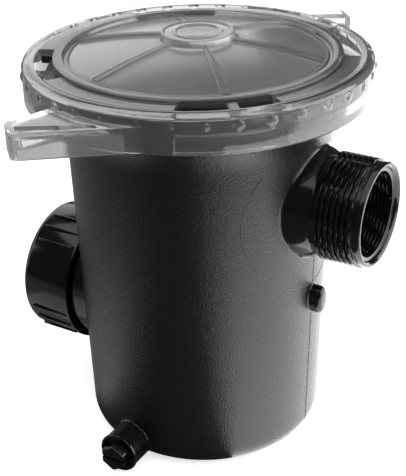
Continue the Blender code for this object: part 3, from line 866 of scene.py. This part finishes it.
def make_handle(turn):
    handle = bevelled(prism("handle", handle_plan(0), HANDLE_LOW, HANDLE_TOP), 1.5, 4)
    pocket = bevelled(prism("pocket", handle_plan(3), 205.0, HANDLE_TOP - 4.2), 0.9, 3)
    dish = prism("dish", dish_plan(), HANDLE_TOP - 2.2, HANDLE_TOP + 3)
    combine(handle, pocket, "DIFFERENCE")
    combine(handle, dish, "DIFFERENCE")
    handle.data.transform(Matrix.Rotation(turn, 4, "Z"))
    return handle


def make_lid():
    lid = lid_body()
    slots, extras = [], []
    for i in range(4):
        middle, half = SLOT_CENTRE + 90 * i, SLOT_SPAN / 2
        plan = arc(SLOT_OUTER, middle - half, middle + half, 24)
        plan += arc(SLOT_INNER, middle + half, middle - half, 24)
        slots.append(bevelled(prism("slot", plan, 224.0, 240.0), 2.2, 4, 60))
        plan = arc(95.0, middle - half, middle + half, 24)
        plan += arc(85.8, middle + half, middle - half, 24)
        extras.append(bevelled(prism("lug", plan, LID_BOTTOM + 0.15, 220.6), 0.5, 2))
    combine(lid, joined(slots, "slots"), "DIFFERENCE")
    extras += [lid_rib(RIB_FIRST + 60 * k, 19.9, 70.0, 3.2, 5.2, 1.7, 1.1) for k in range(6)]
    extras += [make_handle(0), make_handle(math.pi)]
    combine(lid, joined(extras, "extras"), "UNION")
    bridge = lid_rib(RIB_FIRST + 300, 69.0, 93.0, 4.6, 5.4, 0.1)
    combine(lid, bridge, "UNION")
    return fit(lid, "lid", CLEAR, ["lid"])


def ring(name, radius, section, matrix, node, body):
    """A seal of round section. Both radii are in millimetres."""
    turns = [TAU * k / 20 for k in range(20)]
    outline = [(radius + section * math.cos(a), section * math.sin(a)) for a in turns]
    item = turned(name, outline, 192, 60, matrix)
    return fit(item, body, RUBBER, [node])


def make_seals():
    lift = Matrix.Translation((0, 0, (RIM_TOP + SEAL_GAP + SEAL_SECTION) * MM))
    ring("lid_seal_ring", SEAL_RADIUS, SEAL_SECTION, lift, "lid_o_ring", "lid_seal")
    place = along((-1, 0, 0), OUTLET_Z) @ Matrix.Translation((0, 0, UNION_SEAL_REACH * MM))
    ring("union_seal_ring", UNION_SEAL_RADIUS, UNION_SEAL_SECTION, place, "union_o_ring", "pot")


# ---------------------------------------------------------------- basket


def basket_levels():
    """(radius, z, what) from the rim, down the wall and in along the bottom."""
    top, low = 212.0, 38.0
    rows = [(72.2, 216.4, "solid"), (70.5, 216.4, "solid"), (66.6, 216.4, "solid")]
    rows += [(66.35, 214.5, "solid")]
    tiers = ((212, "solid"), (201, "slots"), (187, "solid"), (181, "window"), (137, "solid"))
    tiers += ((131, "slots"), (103, "solid"), (97, "slots"), (69, "solid"), (63, "slots"))
    tiers += ((47, "solid"),)
    for z, what in tiers:
        rows.append((66.3 + (60.5 - 66.3) * (top - z) / (top - low), z, what))
    floor = ((60.2, 39.5, "solid"), (58.6, 38.2, "solid"), (55, low, "slots"))
    floor += ((43, low, "solid"), (39, low, "slots"), (27, low, "solid"), (23, low, "slots"))
    floor += ((12, low, "solid"), (6, low, "solid"))
    return rows + list(floor)


def make_basket():
    columns, bar, window_half = 80, 0.52, 5
    edges = []
    for k in range(columns // 2):
        edges += [k / (columns / 2), (k + bar) / (columns / 2)]
    turns = (np.array(edges) - bar / columns) * TAU
    levels = basket_levels()
    points = np.concatenate(
        [
            np.stack([r * np.cos(turns), r * np.sin(turns), np.full(columns, float(z))], 1)
            for r, z, _ in levels
        ]
    )
    faces = []
    for k, (_, _, what) in enumerate(levels[:-1]):
        for i in range(columns):
            facing = i < window_half or i >= columns - window_half + 1
            open_slot = what in ("slots", "window") and i % 2 == 1
            if open_slot or (what == "window" and facing):
                continue
            j = (i + 1) % columns
            row, following = k * columns, (k + 1) * columns
            faces.append((row + i, row + j, following + j, following + i))
    faces.append(tuple(range((len(levels) - 1) * columns, len(levels) * columns)))
    basket = new_object("basket_shell", points, faces, 35)
    wall = basket.modifiers.new("wall", "SOLIDIFY")
    wall.thickness = 2.2 * MM
    wall.offset = 0
    wall.use_even_offset = True
    settle(basket, 35)
    for side in (-1, 1):
        ear = soften([(0, 57.5), (5, 57.5), (5, 65.6), (0, 65.6)], 0.6)
        hole = [(0, 50), (2.3, 50), (2.3, 72), (0, 72)]
        place = along((0, side, 0), BAIL_Z)
        combine(basket, turned("ear", ear, 48, 30, place), "UNION", 35)
        combine(basket, turned("hole", hole, 32, 30, place), "DIFFERENCE", 35)
    return fit(basket, "basket", PALE, ["strainer_basket"])


def make_bail():
    """The bail: a half ring of rounded section, with a pin out of each end."""
    steps, radius, half = 72, 54.5, 2.0
    section = soften([(half, -half), (half, half), (-half, half), (-half, -half)], 0.8)
    points = []
    for k in range(steps + 1):
        a = math.radians(90 + 180 * k / steps)
        for u, v in section:
            points.append(((radius + u) * math.cos(a), (radius + u) * math.sin(a), BAIL_Z + v))
    sides = len(section)
    faces = ring_faces(steps + 1, sides, False)
    faces += [tuple(range(sides)), tuple(range(len(points) - sides, len(points)))]
    bail = new_object("basket_bail", points, faces, 40)
    for side in (-1, 1):
        pin = [(0, 52.5), (2.75, 52.5), (2.75, 56.7), (2.0, 56.9), (2.0, 65.0), (1.6, 65.4), (0, 65.4)]
        combine(bail, turned("pin", pin, 40, 30, along((0, side, 0), BAIL_Z)), "UNION", 40)
    return fit(bail, "bail", PALE, ["basket_handle"])


# ---------------------------------------------------------------- union and drain plug


def make_nut():
    """The union nut: slight taper, rounded far edge, inner lip and groups of grip ribs."""
    near, far = NUT_RADIUS - 0.9, NUT_RADIUS - 1.7
    outline = [(37.9, NUT_NEAR), (near - 0.9, NUT_NEAR), (near - 0.2, NUT_NEAR + 0.3)]
    outline += [(near, NUT_NEAR + 1.0), (far, NUT_FAR - 3.6), (far - 0.2, NUT_FAR - 2.2)]
    outline += [(far - 0.7, NUT_FAR - 1.1), (far - 1.5, NUT_FAR - 0.3), (far - 2.6, NUT_FAR)]
    outline += [(29.3, NUT_FAR), (28.5, NUT_FAR - 0.6), (28.5, 101.8), (37.3, 101.8)]
    outline += [(37.3, NUT_NEAR + 0.6)]
    nut = turned("nut_shell", outline, 240, 35, along((-1, 0, 0), OUTLET_Z))
    grips = []
    for group in range(4):
        for middle in (-42.5, -29.0, -15.5):
            middle += 90 * group
            plan = arc(NUT_RADIUS - 0.05, middle - 1.2, middle + 1.2, 2)
            plan += arc(far - 1.2, middle + 1.2, middle - 1.2, 2)
            grips.append(bevelled(prism("grip", plan, NUT_NEAR + 2.6, NUT_FAR - 5.6), 0.6, 3))
    grips = joined(grips, "grips")
    turn = Matrix.Rotation(-math.pi / 2, 4, "Y")
    grips.data.transform(Matrix.Translation((0, 0, OUTLET_Z * MM)) @ turn)
    combine(nut, grips, "UNION", 35)
    return fit(nut, "union_nut", POLISHED, ["union_nut"])


def make_tailpiece():
    outline = [(20.5, 96.3), (36.6, 96.3), (36.6, 101.5), (28.0, 101.5), (28.0, TAIL_END)]
    outline += [(24.15, TAIL_END), (24.15, 98.8), (20.5, 98.8)]
    tail = turned("tailpiece", soften(outline, 0.7), 192, 35, along((-1, 0, 0), OUTLET_Z))
    return fit(tail, "tailpiece", POLISHED, ["union_tailpiece"])


def make_plug():
    """The drain plug: threaded shank, flange and a six-sided head with a coin slot."""
    place = along((0, -1, 0), DRAIN_Z, DRAIN_X)
    ridges, pitch = 8, 1.411
    shank = [(0, 69.0), (5.4, 69.0)]
    for k in range(ridges):
        start = 69.8 + pitch * k
        shank += [(5.6, start), (6.45, start + 0.55), (6.45, start + 0.85)]
    shank += [(6.4, PLUG_FLANGE_START), (PLUG_FLANGE - 0.3, PLUG_FLANGE_START)]
    shank += [(PLUG_FLANGE, PLUG_FLANGE_START + 0.3), (PLUG_FLANGE, PLUG_FLANGE_END - 0.4)]
    shank += [(PLUG_FLANGE - 0.4, PLUG_FLANGE_END), (0, PLUG_FLANGE_END)]
    plug = turned("drain_plug_body", shank, 96, 30)
    head = bevelled(prism("head", arc(8.5, 30, 330, 5), 83.4, PLUG_END), 1.0, 4)
    slot = prism("slot", [(-12, -0.85), (12, -0.85), (12, 0.85), (-12, 0.85)], PLUG_END - 2.2, 96)
    combine(head, slot, "DIFFERENCE")
    combine(plug, head, "UNION")
    plug.data.transform(place)
    return fit(plug, "drain_plug", POLISHED, ["drain_plug"])


def make_gasket():
    outline = soften([(6.8, 80.3), (9.2, 80.3), (9.2, 81.5), (6.8, 81.5)], 0.4)
    place = along((0, -1, 0), DRAIN_Z, DRAIN_X)
    gasket = turned("drain_gasket", outline, 96, 40, place)
    return fit(gasket, "drain_seal", RUBBER, ["drain_plug_gasket"])


# ---------------------------------------------------------------- studio


def lamp(name, place, ahead, width, depth, radiance, turn=0.0):
    """A rectangular lamp of this brightness all over its face, which the camera doesn't see."""
    light = bpy.data.lights.new(name, "AREA")
    light.shape = "RECTANGLE"
    light.size, light.size_y = width, depth
    light.energy = radiance * width * depth * math.pi
    item = bpy.data.objects.new(name, light)
    facing = Vector(ahead).to_track_quat("-Z", "Y").to_matrix().to_4x4()
    spin = Matrix.Rotation(math.radians(turn), 4, "Z")
    item.matrix_world = Matrix.Translation(place) @ facing @ spin
    item.visible_camera = False
    bpy.context.scene.collection.objects.link(item)


def soft_box(name, azimuth, elevation, distance, width, height, radiance):
    a, e = math.radians(azimuth), math.radians(elevation)
    away = Vector((math.cos(a) * math.cos(e), math.sin(a) * math.cos(e), math.sin(e)))
    lamp(name, Vector((0, 0, 0.13)) + away * distance, -away, width, height, radiance)


def make_studio():
    reach = 6000.0
    corners = [(-reach, -reach, 0), (reach, -reach, 0), (reach, reach, 0), (-reach, reach, 0)]
    floor = new_object("floor", corners, [(0, 1, 2, 3)])
    floor.data.materials.append(studio_floor())
    world = bpy.data.worlds.new("studio")
    world.use_nodes = True
    background = world.node_tree.nodes["Background"]
    background.inputs["Color"].default_value = (1.0, 1.0, 1.0, 1)
    strength = seen_directly(world.node_tree, 1.0, 0.34, 0.07)
    world.node_tree.links.new(strength, background.inputs["Strength"])
    bpy.context.scene.world = world
    bpy.context.scene.view_settings.view_transform = "Standard"
    soft_box("soft_box_right", 22, 12, 1.3, 1.4, 0.9, 4.0)
    soft_box("soft_box_near_right", -20, 30, 1.4, 0.35, 0.9, 3.0)
    soft_box("soft_box_left", 196, 14, 1.4, 0.9, 0.9, 1.2)
    soft_box("soft_box_back", 143, 24, 1.6, 1.7, 0.9, 1.5)
    soft_box("soft_box_top", -59, 84, 1.5, 2.2, 2.2, 1.4)
    lamp("low_panel_right", (0.210, 0.425, 0.002), (0, 0, 1), 0.90, 1.20, 2.6, -45)
    lamp("low_panel_left", (-0.42, 0.03, 0.002), (0, 0, 1), 0.70, 0.90, 0.20)
    lamp("low_panel_near", (-0.125, -0.115, 0.003), (0, 0, 1), 0.12, 0.12, 0.5)


def make_camera():
    place = Vector((0.2983, -0.4951, 0.4210))
    aim = Vector((0.0003, 0.0002, 0.1177))
    roll = math.radians(-1.34)
    ahead = (aim - place).normalized()
    right = ahead.cross(Vector((0, 0, 1))).normalized()
    up = right.cross(ahead)
    leaned = right * math.cos(roll) + up * math.sin(roll)
    camera = bpy.data.cameras.new("camera")
    camera.lens = 82.41
    camera.sensor_width = 36.0
    camera.clip_end = 50
    item = bpy.data.objects.new("camera", camera)
    up_leaned = leaned.cross(ahead)
    turn = Matrix((leaned, up_leaned, -ahead)).transposed().to_4x4()
    item.matrix_world = Matrix.Translation(place) @ turn
    bpy.context.scene.collection.objects.link(item)
    bpy.context.scene.camera = item


make_camera()
make_studio()
make_pot()
make_inlet()
make_outlet()
make_drain_boss()
make_nub()
make_mould_lines()
make_lid()
make_seals()
make_basket()
make_bail()
make_nut()
make_tailpiece()
make_plug()
make_gasket()
